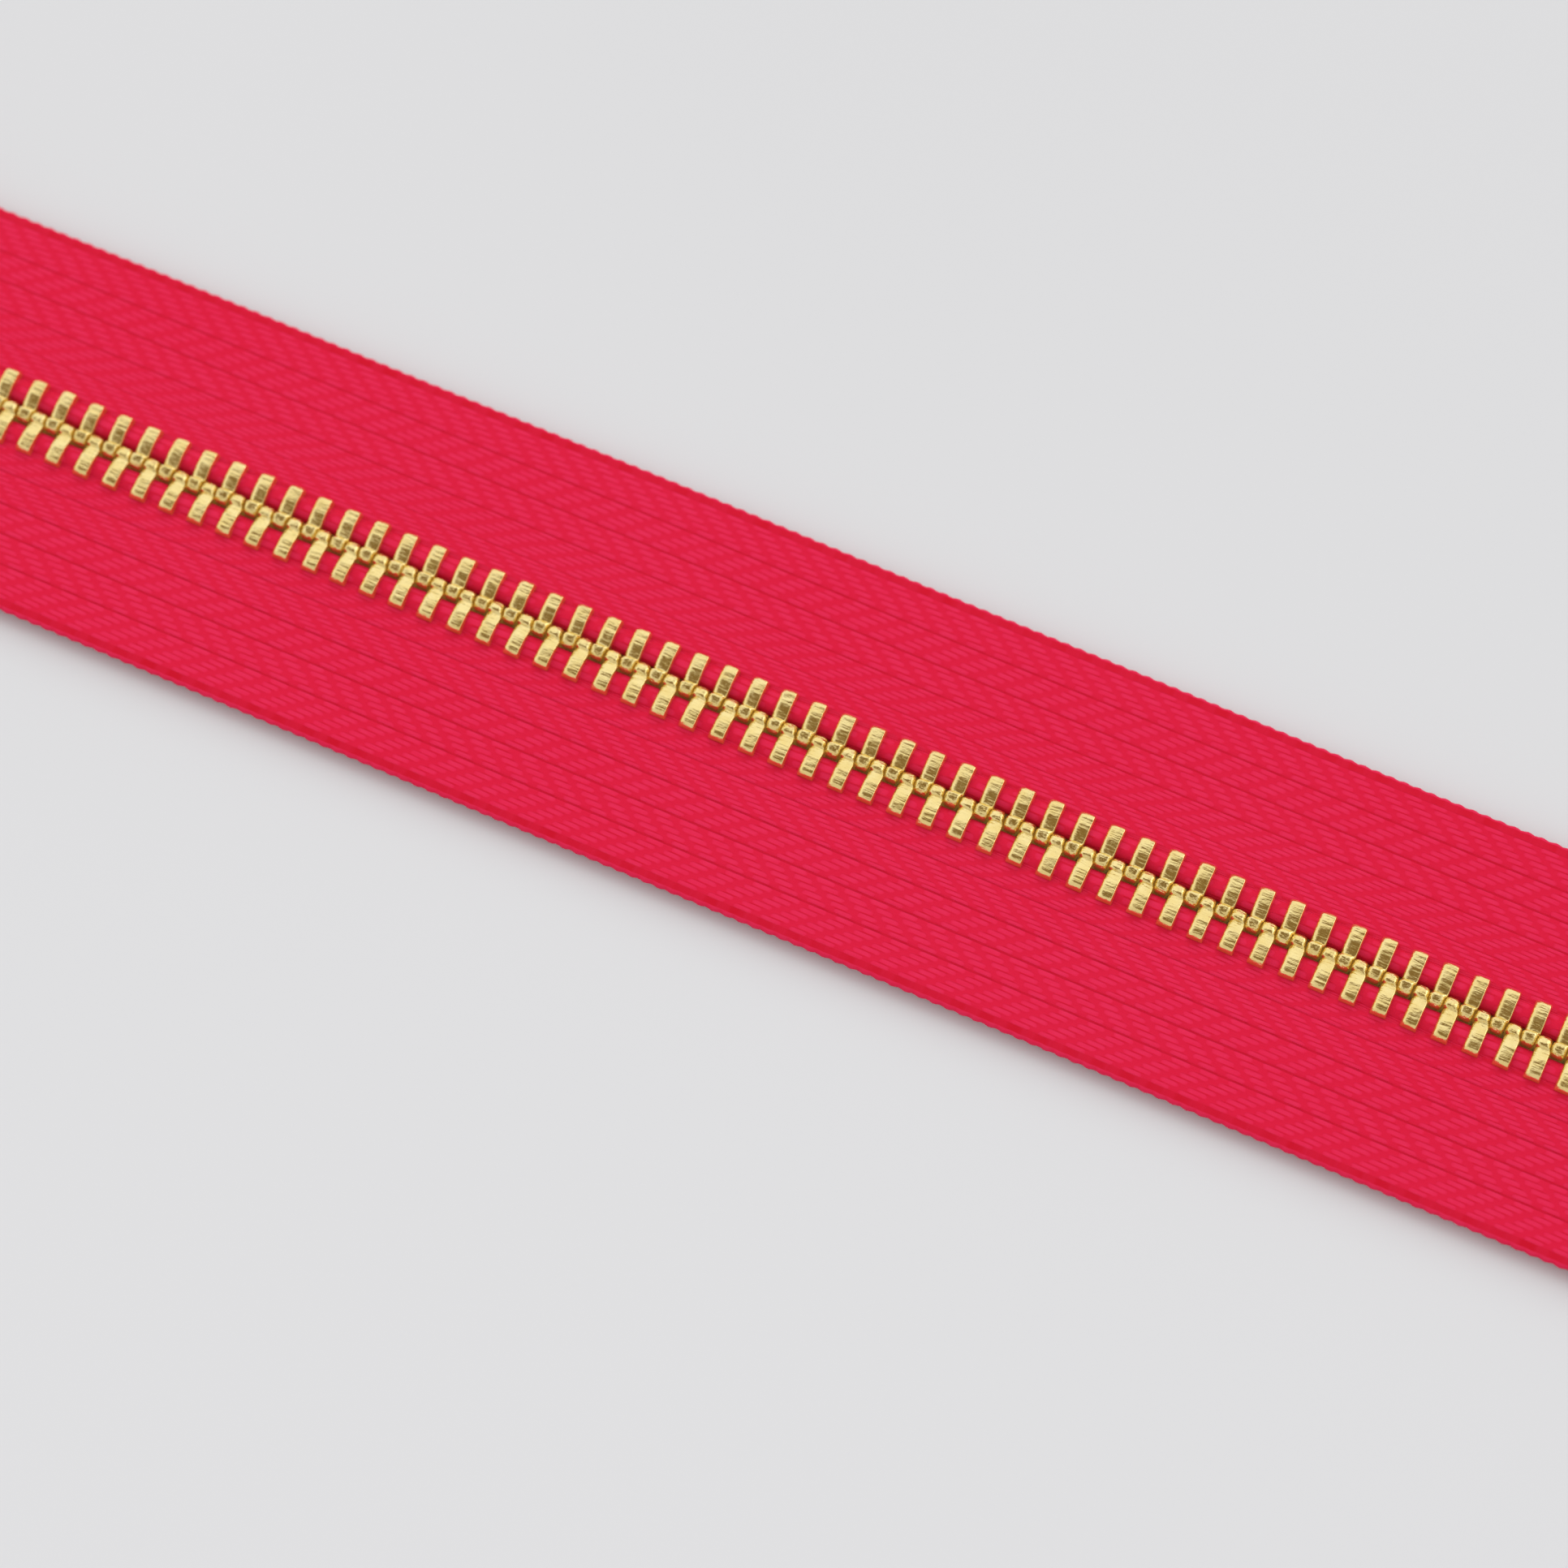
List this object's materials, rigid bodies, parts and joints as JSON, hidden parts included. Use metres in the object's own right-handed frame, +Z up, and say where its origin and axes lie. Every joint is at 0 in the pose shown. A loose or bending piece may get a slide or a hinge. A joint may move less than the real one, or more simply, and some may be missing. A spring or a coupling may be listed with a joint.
{
  "type": "metal zipper",
  "caption": "Closed-end metal zipper: two woven tapes with clamped brass teeth, top and bottom stops, and an auto-lock slider with a pull tab.",
  "frame": {"origin": "below the middle of the chain, half way along the tapes, on the surface the zipper lies on", "axes": "+X along the chain from the bottom stop to the top stops, +Y across it to the left tape, +Z up out of the face with the pull"},
  "size_m": [0.26, 0.0382, 0.0076],
  "materials": {
    "tape": "woven herringbone tape",
    "cord": "twisted yarn",
    "teeth_brass": "bright tumbled brass",
    "slider_brass": "satin polished brass",
    "lock_steel": "plain spring steel"
  },
  "bodies": {
    "base": {"bottom_stop": "teeth_brass", "left_tape_foot": "tape", "right_tape_foot": "tape", "left_cord_foot": "cord", "right_cord_foot": "cord", "left_teeth_foot": "teeth_brass", "right_teeth_foot": "teeth_brass"},
    "left_half": {"left_tape": "tape", "left_cord": "cord", "left_teeth": "teeth_brass", "left_top_stop": "teeth_brass"},
    "right_half": {"right_tape": "tape", "right_cord": "cord", "right_teeth": "teeth_brass", "right_top_stop": "teeth_brass"},
    "slider": {"slider_body": "slider_brass", "slider_crown": "slider_brass", "lock_spring": "lock_steel"},
    "lock": {"lock_pawl": "lock_steel"},
    "pull": {"pull_tab": "slider_brass"}
  },
  "joints": [
    {"name": "slider_travel", "type": "slide", "parent": "base", "child": "slider", "axis": [-1, 0, 0], "range_m": [0, 0.2032], "deforming": ["left_tape", "left_cord", "right_tape", "right_cord", "left_tape_foot", "right_tape_foot", "left_cord_foot", "right_cord_foot"]},
    {"name": "left_half_open", "type": "hinge", "parent": "base", "child": "left_half", "pos_m": [-0.1035, 0.00175, 0.00227], "axis": [0, 0, 1], "range_deg": [0, 22.1]},
    {"name": "right_half_open", "type": "hinge", "parent": "base", "child": "right_half", "pos_m": [-0.1035, -0.00175, 0.00227], "axis": [0, 0, -1], "range_deg": [0, 22.1]},
    {"name": "lock_lift", "type": "hinge", "parent": "slider", "child": "lock", "pos_m": [0.1045, 0, 0.00618], "axis": [0, 1, 0], "range_deg": [0, 6.4], "deforming": ["lock_spring"]},
    {"name": "pull_swing", "type": "hinge", "parent": "slider", "child": "pull", "pos_m": [0.102, 0, 0.00549], "axis": [0, 1, 0], "range_deg": [0, 178]}
  ],
  "couplings": [
    {"joint": "left_half_open", "follows": "slider_travel", "rad_per_m": 1.8896},
    {"joint": "right_half_open", "follows": "slider_travel", "rad_per_m": 1.8896}
  ]
}
